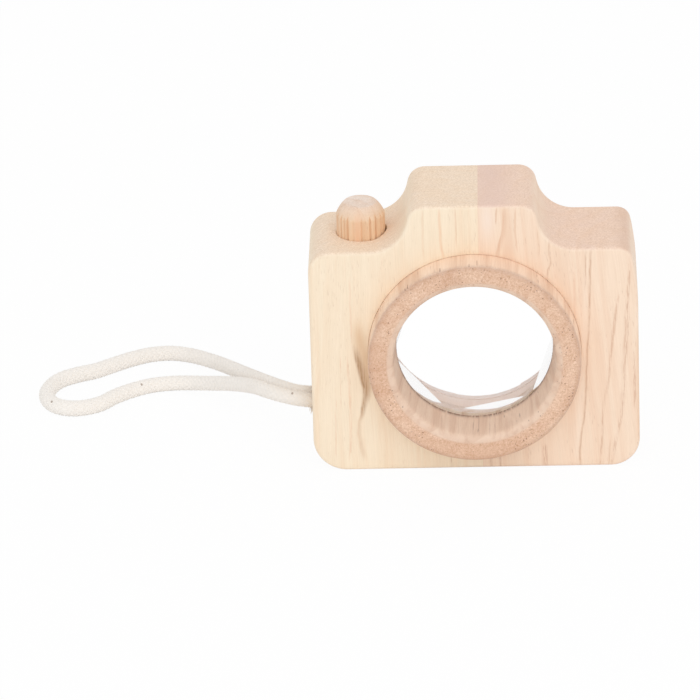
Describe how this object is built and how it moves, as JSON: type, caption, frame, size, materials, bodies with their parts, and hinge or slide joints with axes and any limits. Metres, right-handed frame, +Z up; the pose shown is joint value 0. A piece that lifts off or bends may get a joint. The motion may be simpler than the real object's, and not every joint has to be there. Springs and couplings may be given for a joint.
{
  "type": "kaleidoscope toy camera",
  "caption": "Wooden toy camera block with a turning barrel that holds a faceted clear lens, a sprung shutter button and a cotton wrist cord in its side.",
  "frame": {"origin": "On the surface that the camera stands on, under the middle of its box measured without the cord", "axes": "+X to the right seen from the front, +Y from the front to the back along the barrel, +Z up"},
  "size_m": [0.1687, 0.085, 0.079],
  "materials": {
    "pale_wood": "sanded, bare",
    "rosy_wood": "sanded, bare",
    "barrel_wood": "turned and sanded, bare",
    "ring_wood": "sanded, bare",
    "dowel_wood": "fluted dowel, bare",
    "clear_plastic": "clear, polished",
    "spring_steel": "bright drawn wire",
    "cotton_cord": "braided cotton, unbleached"
  },
  "bodies": {
    "camera_body": {"body_left_board": "pale_wood", "body_right_board": "rosy_wood", "eyepiece_ring": "ring_wood", "button_pin": "spring_steel", "button_spring": "spring_steel", "wrist_cord": "cotton_cord"},
    "turning_barrel": {"lens_barrel": "barrel_wood", "kaleidoscope_lens": "clear_plastic", "lens_retaining_ring": "ring_wood"},
    "press_button": {"shutter_button": "dowel_wood"}
  },
  "joints": [
    {"name": "barrel_turn", "type": "hinge", "parent": "camera_body", "child": "turning_barrel", "pos_m": [0, 0, 0.0354], "axis": [0, 1, 0], "continuous": true},
    {"name": "button_press", "type": "slide", "parent": "camera_body", "child": "press_button", "axis": [0, 0, -1], "range_m": [0, 0.0025], "stiffness_N_per_m": 400, "springref_m": -0.001, "deforming": ["button_spring"]}
  ]
}
